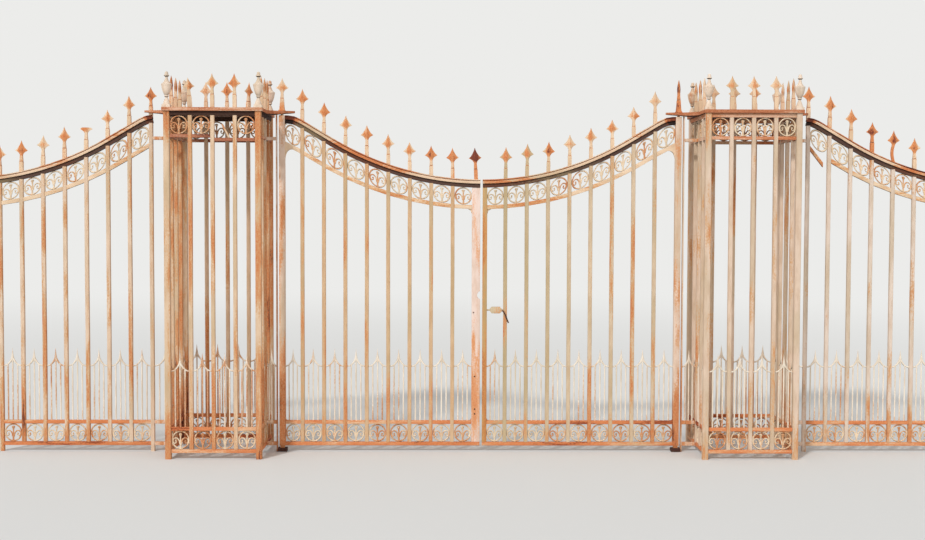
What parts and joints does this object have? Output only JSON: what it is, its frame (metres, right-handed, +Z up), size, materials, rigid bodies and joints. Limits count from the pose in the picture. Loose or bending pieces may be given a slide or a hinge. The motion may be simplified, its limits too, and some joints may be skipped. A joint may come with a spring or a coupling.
{
  "type": "wrought iron driveway gate",
  "caption": "Pair of swept iron driveway gates with a ring frieze and arrowhead finials, hung between open cage piers with urns, and a fence wing on each side.",
  "frame": {"origin": "middle of the foot of the left pier's inner street-side corner post, on the ground", "axes": "+X along the gate towards the right pier, +Y from the street into the drive, +Z up"},
  "size_m": [8.13, 0.823, 3.141],
  "materials": {
    "painted_iron": "chalky cream paint over rust, matte",
    "painted_castings": "chalky cream paint, matte",
    "scroll_castings": "chalky cream paint with rust, matte",
    "rusted_castings": "orange rust with paint remains, matte",
    "lock_iron": "worn cream paint over rust, matte",
    "ground_iron": "dark rust, matte"
  },
  "bodies": {
    "root": {"left_jamb_bay": "painted_iron", "left_link_bay": "painted_iron", "left_pier_arrowheads": "rusted_castings", "left_pier_bars": "painted_iron", "left_pier_base_rails": "painted_iron", "left_pier_cap_plate": "painted_iron", "left_pier_dog_bars": "painted_iron", "left_pier_frieze_rails": "painted_iron", "left_pier_frieze_rings": "scroll_castings", "left_pier_posts": "painted_iron", "left_pier_urns": "painted_castings", "left_pivot_socket": "ground_iron", "left_wing_arrowheads": "rusted_castings", "left_wing_bars": "painted_iron", "left_wing_base_rails": "painted_iron", "left_wing_dog_bars": "painted_iron", "left_wing_frieze_rail": "painted_iron", "left_wing_frieze_rings": "scroll_castings", "left_wing_top_rail": "painted_iron", "right_jamb_bay": "painted_iron", "right_link_bay": "painted_iron", "right_pier_arrowheads": "rusted_castings", "right_pier_bars": "painted_iron", "right_pier_base_rails": "painted_iron", "right_pier_cap_plate": "painted_iron", "right_pier_dog_bars": "painted_iron", "right_pier_frieze_rails": "painted_iron", "right_pier_frieze_rings": "scroll_castings", "right_pier_posts": "painted_iron", "right_pier_urns": "painted_castings", "right_pivot_socket": "ground_iron", "right_wing_arrowheads": "rusted_castings", "right_wing_bars": "painted_iron", "right_wing_base_rails": "painted_iron", "right_wing_dog_bars": "painted_iron", "right_wing_frieze_rail": "painted_iron", "right_wing_frieze_rings": "scroll_castings", "right_wing_top_rail": "painted_iron"},
    "left_leaf": {"left_leaf_arrowheads": "rusted_castings", "left_leaf_bars": "painted_iron", "left_leaf_base_rails": "painted_iron", "left_leaf_dog_bars": "painted_iron", "left_leaf_frieze_rail": "painted_iron", "left_leaf_frieze_rings": "scroll_castings", "left_leaf_hanging_stile": "painted_iron", "left_leaf_meeting_stile": "painted_iron", "left_leaf_top_rail": "painted_iron"},
    "right_leaf": {"lock_case": "lock_iron", "right_leaf_arrowheads": "rusted_castings", "right_leaf_bars": "painted_iron", "right_leaf_base_rails": "painted_iron", "right_leaf_dog_bars": "painted_iron", "right_leaf_frieze_rail": "painted_iron", "right_leaf_frieze_rings": "scroll_castings", "right_leaf_hanging_stile": "painted_iron", "right_leaf_meeting_stile": "painted_iron", "right_leaf_top_rail": "painted_iron"}
  },
  "joints": [
    {"name": "left_leaf_hinge", "type": "hinge", "parent": "root", "child": "left_leaf", "pos_m": [0.148, 0.3685, 0], "axis": [0, 0, 1], "range_deg": [0, 90]},
    {"name": "right_leaf_hinge", "type": "hinge", "parent": "root", "child": "right_leaf", "pos_m": [3.462, 0.3685, 0], "axis": [0, 0, -1], "range_deg": [0, 90]}
  ]
}
